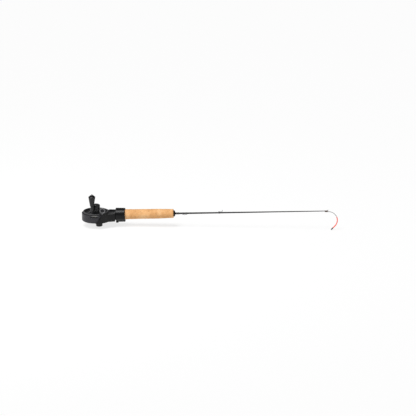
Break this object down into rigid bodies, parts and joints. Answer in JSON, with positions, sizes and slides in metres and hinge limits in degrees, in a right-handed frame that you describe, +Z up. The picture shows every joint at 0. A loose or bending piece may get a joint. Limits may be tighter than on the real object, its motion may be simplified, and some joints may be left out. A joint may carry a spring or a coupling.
{
  "type": "ice fishing rod",
  "caption": "Short ice jigging rod with a round finger reel on a cork grip, a tapered blank and a curled spring bobber at the tip.",
  "frame": {"origin": "centre of the flat underside of the reel's drag knob, which the part rests on", "axes": "+X runs to the rod's tip, +Z up along the spool's axis, +Y to the left when looking towards the tip"},
  "size_m": [0.6126, 0.07, 0.0833],
  "materials": {
    "drum_plastic": "satin moulded plastic with a faint grain",
    "frame_plastic": "satin black moulded plastic",
    "spool_plastic": "satin black moulded plastic",
    "knob_plastic": "semi-gloss black plastic",
    "collar_plastic": "satin black nylon",
    "eye_plastic": "satin dark grey nylon",
    "roller_plastic": "plain grey nylon",
    "steel": "plain steel",
    "dark_steel": "blackened steel",
    "brass": "sintered bronze",
    "nylon": "natural nylon",
    "felt": "hard felt",
    "cork": "sanded cork with dark pits",
    "arbor_foam": "rigid filler",
    "blank_finish": "gloss black over a glass-fibre blank",
    "thread": "black thread under clear finish",
    "check_rubber": "black rubber",
    "guide_ceramic": "polished dark ceramic",
    "tip_brown": "brown lacquered metal",
    "bobber_red": "bright red-orange soft tube",
    "bobber_black": "black bead"
  },
  "bodies": {
    "rod": {"drum": "drum_plastic", "frame": "frame_plastic", "frame_screws": "steel", "axle": "steel", "axle_clip": "steel", "thrust_washer": "brass", "line_eye": "eye_plastic", "roller_pin": "steel", "clamp_collar": "collar_plastic", "clamp_screws": "dark_steel", "clamp_nuts": "dark_steel", "cork_grip": "cork", "grip_arbor": "arbor_foam", "winding_check": "check_rubber", "rod_blank": "blank_finish", "handle_wrap": "thread", "hook_keeper": "dark_steel", "keeper_wraps": "thread", "guide_frame": "dark_steel", "guide_ring": "guide_ceramic", "guide_wraps": "thread", "tip_tube": "tip_brown", "tip_ring": "tip_brown", "bobber_sleeve": "tip_brown", "bobber_anchor": "steel", "brake_shoe": "nylon", "brake_pad": "felt"},
    "spool": {"spool": "spool_plastic", "spool_bushings": "brass", "crank_arm": "spool_plastic", "crank_screws": "steel", "hub_cap": "knob_plastic", "knob_spindle": "steel"},
    "crank_knob": {"crank_knob": "knob_plastic", "knob_cap": "knob_plastic"},
    "drag_knob": {"drag_knob": "knob_plastic", "drag_screw": "steel", "drag_washer": "steel"},
    "line_roller": {"line_roller": "roller_plastic"},
    "bobber": {"bobber_wire": "steel", "bobber_tube": "bobber_red", "bobber_tip": "bobber_black"}
  },
  "joints": [
    {"name": "spool_spin", "type": "hinge", "parent": "rod", "child": "spool", "pos_m": [-0.008, 0, 0.03], "axis": [0, 0, 1], "continuous": true},
    {"name": "knob_spin", "type": "hinge", "parent": "spool", "child": "crank_knob", "pos_m": [-0.01484, -0.01879, 0.06], "axis": [0, 0, 1], "continuous": true},
    {"name": "drag_turn", "type": "hinge", "parent": "rod", "child": "drag_knob", "pos_m": [0, 0, 0.01], "axis": [0, 0, 1], "range_deg": [-90, 225]},
    {"name": "roller_spin", "type": "hinge", "parent": "rod", "child": "line_roller", "pos_m": [-0.008, -0.0325, 0.0324], "axis": [1, 0, 0], "continuous": true},
    {"name": "bobber_flex", "type": "hinge", "parent": "rod", "child": "bobber", "pos_m": [0.54832, 0, 0.04533], "axis": [0, 1, 0], "range_deg": [-25, 40], "stiffness_Nm_per_rad": 0.05}
  ]
}
